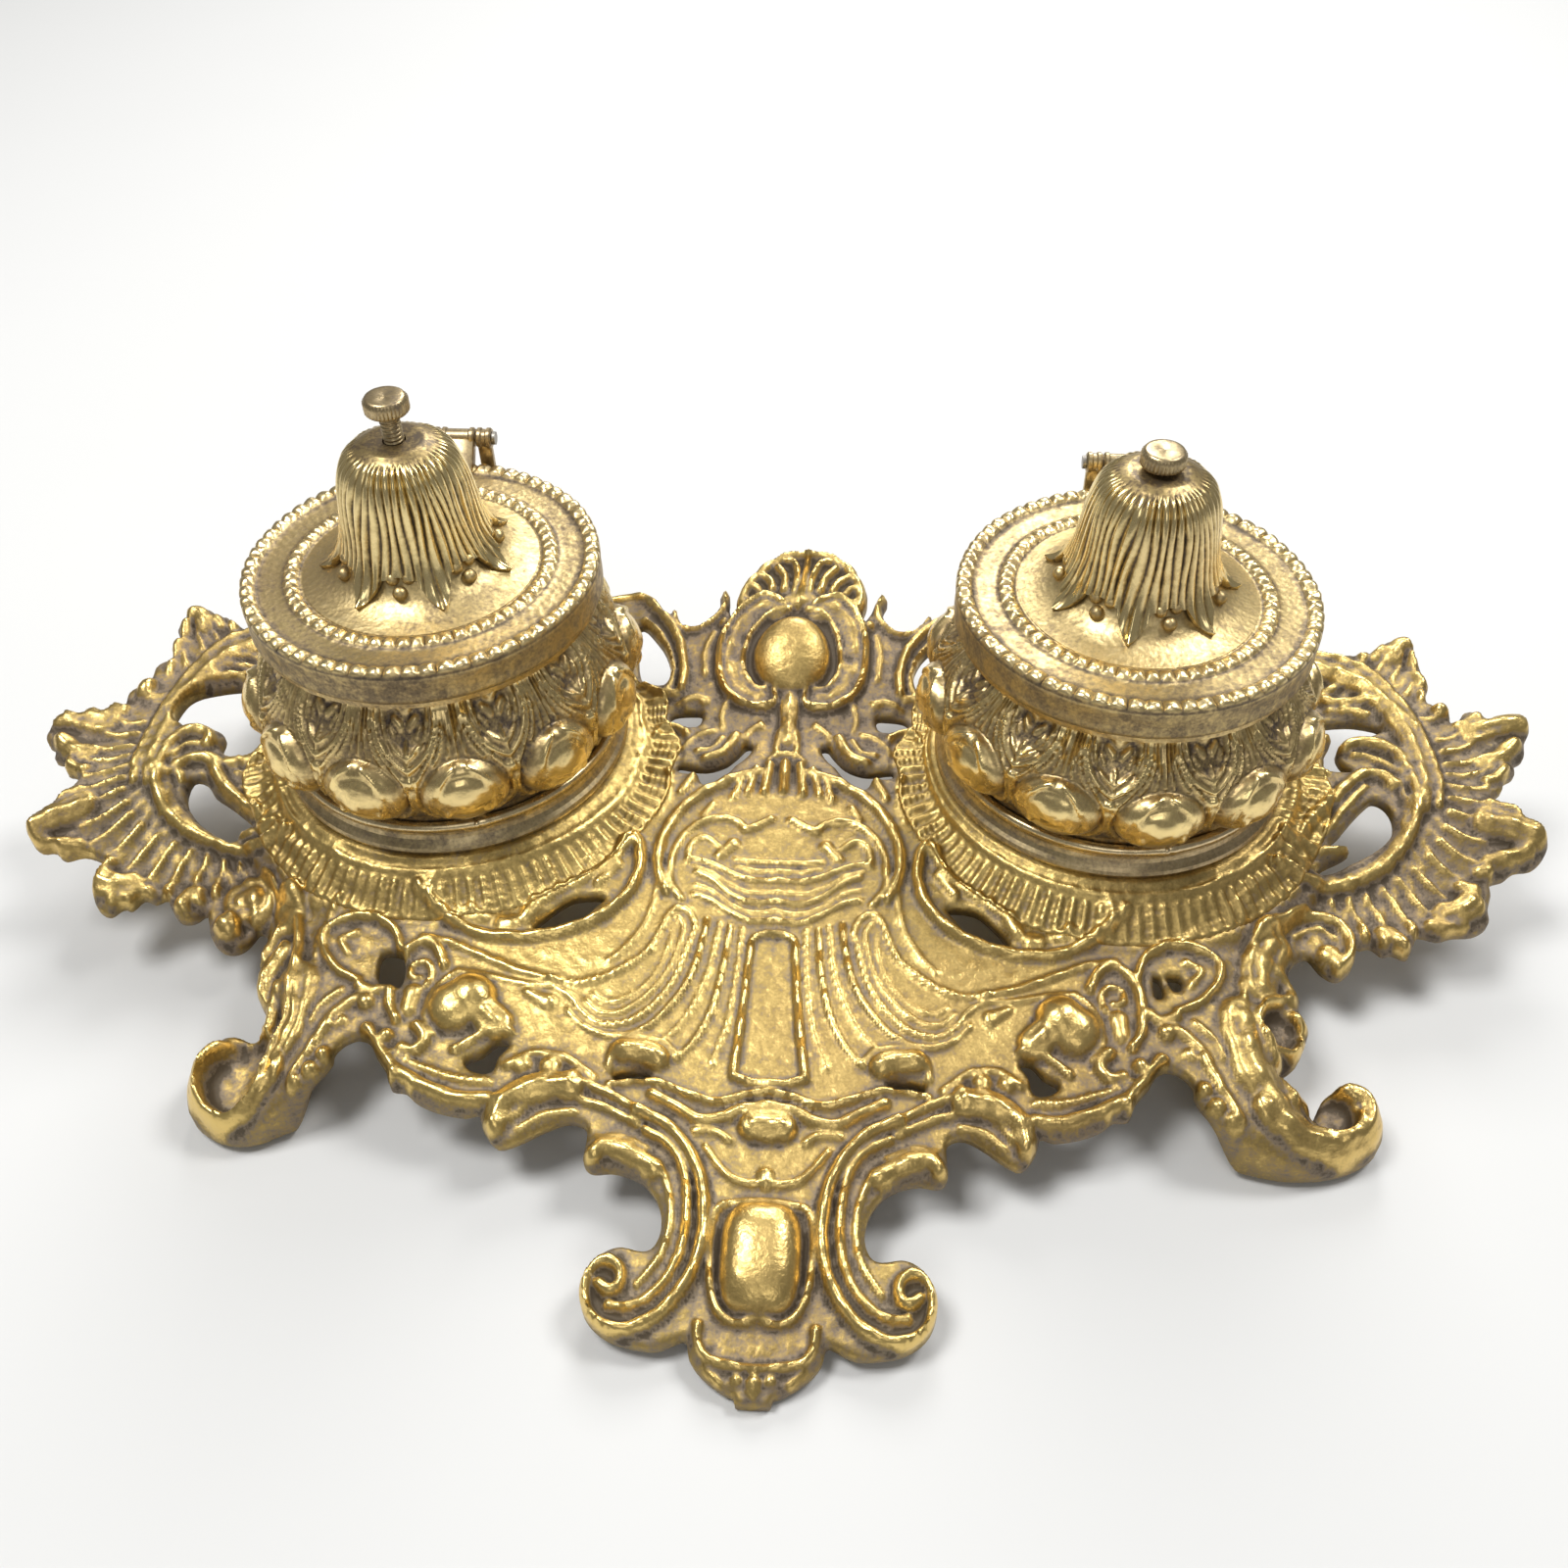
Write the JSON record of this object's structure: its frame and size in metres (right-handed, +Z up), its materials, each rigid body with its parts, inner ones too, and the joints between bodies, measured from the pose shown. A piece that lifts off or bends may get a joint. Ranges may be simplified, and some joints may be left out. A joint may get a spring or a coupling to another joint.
{
  "type": "desk inkstand",
  "caption": "Cast brass desk inkstand in rococo scrollwork with hinged-lid ink pots, flower finials, glass liners and a shell-shaped pen tray.",
  "frame": {"origin": "on the desk, below the centre of the stand's plan box", "axes": "+X to the viewer's right along the stand, +Y to the back, +Z up"},
  "size_m": [0.328, 0.1851, 0.1133],
  "materials": {
    "gilt_casting": "aged cast, worn bright on the raised parts",
    "turned_brass": "satin, lightly tarnished",
    "dark_brass": "tarnished with dusty recesses",
    "lid_brass": "stamped, matte ground with worn beading",
    "fixing_steel": "dull",
    "liner_glass": "clear, slightly green"
  },
  "bodies": {
    "stand": {"base_casting": "gilt_casting", "left_collar": "turned_brass", "left_pot": "dark_brass", "left_foot_wire": "turned_brass", "left_liner": "liner_glass", "left_pot_hinge": "turned_brass", "left_hinge_pin": "fixing_steel", "left_fixing_screw": "fixing_steel", "left_fixing_washer": "fixing_steel", "left_fixing_nut": "fixing_steel", "right_collar": "turned_brass", "right_pot": "dark_brass", "right_foot_wire": "turned_brass", "right_liner": "liner_glass", "right_pot_hinge": "turned_brass", "right_hinge_pin": "fixing_steel", "right_fixing_screw": "fixing_steel", "right_fixing_washer": "fixing_steel", "right_fixing_nut": "fixing_steel"},
    "left_lid_body": {"left_lid": "lid_brass", "left_finial": "lid_brass", "left_lid_nut": "fixing_steel", "left_lid_hinge": "lid_brass"},
    "right_lid_body": {"right_lid": "lid_brass", "right_finial": "lid_brass", "right_lid_nut": "fixing_steel", "right_lid_hinge": "lid_brass"},
    "left_knob_body": {"left_finial_knob": "turned_brass"},
    "right_knob_body": {"right_finial_knob": "turned_brass"}
  },
  "joints": [
    {"name": "left_lid_hinge_joint", "type": "hinge", "parent": "stand", "child": "left_lid_body", "pos_m": [-0.071, 0.08, 0.0808], "axis": [-1, 0, 0], "range_deg": [0, 105]},
    {"name": "right_lid_hinge_joint", "type": "hinge", "parent": "stand", "child": "right_lid_body", "pos_m": [0.071, 0.08, 0.0778], "axis": [-1, 0, 0], "range_deg": [0, 105]},
    {"name": "left_knob_slide", "type": "slide", "parent": "left_lid_body", "child": "left_knob_body", "axis": [0, 0, 1], "range_m": [-0.005, 0.001]},
    {"name": "right_knob_slide", "type": "slide", "parent": "right_lid_body", "child": "right_knob_body", "axis": [0, 0, 1], "range_m": [0, 0.006]}
  ]
}
